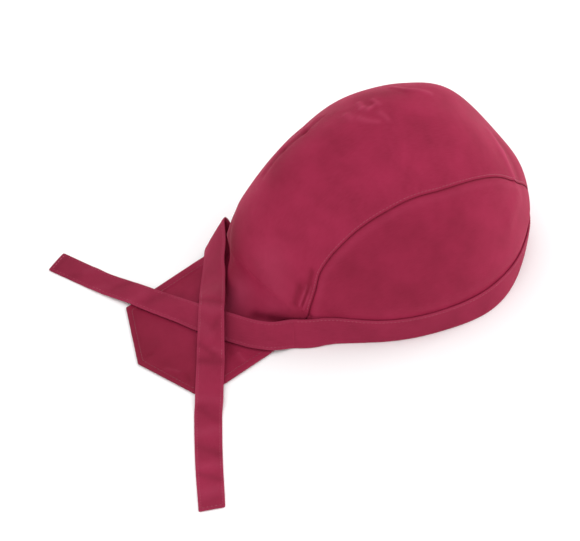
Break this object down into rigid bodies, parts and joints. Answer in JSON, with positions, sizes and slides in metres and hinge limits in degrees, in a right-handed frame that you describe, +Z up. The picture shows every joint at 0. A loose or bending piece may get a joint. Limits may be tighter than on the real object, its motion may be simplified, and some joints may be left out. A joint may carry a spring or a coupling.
{
  "type": "chef bandana cap",
  "caption": "Chef bandana cap with a domed cloth crown on a headband, a pointed tail at the nape and two flat ties crossed over the tail.",
  "frame": {"origin": "centre of the overall outline, on the table that the rim, the tail and the ties rest on", "axes": "+X from the tail towards the brow, +Y to the wearer's left, +Z up"},
  "size_m": [0.3118, 0.2654, 0.1379],
  "materials": {
    "panel_cloth": "matte",
    "strap_cloth": "matte"
  },
  "bodies": {
    "root": {"middle_panel": "panel_cloth", "side_panel_right": "panel_cloth", "side_panel_left": "panel_cloth", "headband": "strap_cloth", "tie_right": "strap_cloth", "tie_left": "strap_cloth"}
  },
  "joints": []
}
